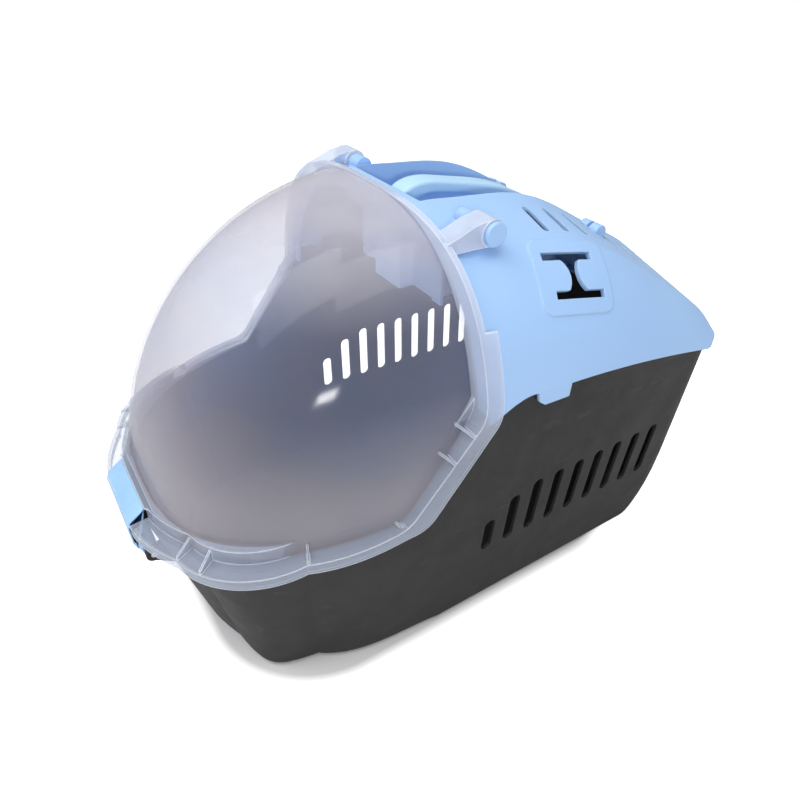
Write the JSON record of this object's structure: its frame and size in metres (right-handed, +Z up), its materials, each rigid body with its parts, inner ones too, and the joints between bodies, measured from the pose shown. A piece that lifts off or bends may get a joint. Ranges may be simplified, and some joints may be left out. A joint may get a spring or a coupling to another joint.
{
  "type": "pet carrier",
  "caption": "Hard pet carrier with a dark lower shell, a light blue roof with a carrying handle and a clear domed front door that swings up over the roof.",
  "frame": {"origin": "on the floor under the middle of the carrier, half way along its length", "axes": "+Y to the rear, -Y to the domed door, +X to the carrier's right as seen from the front door looking rearwards, +Z up"},
  "size_m": [0.3178, 0.505, 0.346],
  "materials": {
    "dark_shell": "matt moulded",
    "blue_roof": "satin moulded",
    "blue_handle": "satin moulded",
    "clear_door": "clear, slightly milky",
    "blue_fittings": "satin moulded",
    "sky_latch": "glossy moulded",
    "steel_pin": "plain"
  },
  "bodies": {
    "shell": {"base_tub": "dark_shell", "roof_cover": "blue_roof", "carry_handle": "blue_handle", "hinge_pin_right": "blue_fittings", "hinge_pin_left": "blue_fittings", "latch_pin": "steel_pin", "rear_stud_right": "blue_fittings", "rear_stud_left": "blue_fittings"},
    "door": {"dome_door": "clear_door"},
    "latch": {"front_latch": "sky_latch"}
  },
  "joints": [
    {"name": "door_hinge", "type": "hinge", "parent": "shell", "child": "door", "pos_m": [0, 0.006, 0.333], "axis": [-1, 0, 0], "range_deg": [0, 110]},
    {"name": "latch_pivot", "type": "hinge", "parent": "shell", "child": "latch", "pos_m": [0, -0.24, 0.103], "axis": [1, 0, 0], "range_deg": [0, 32]}
  ]
}
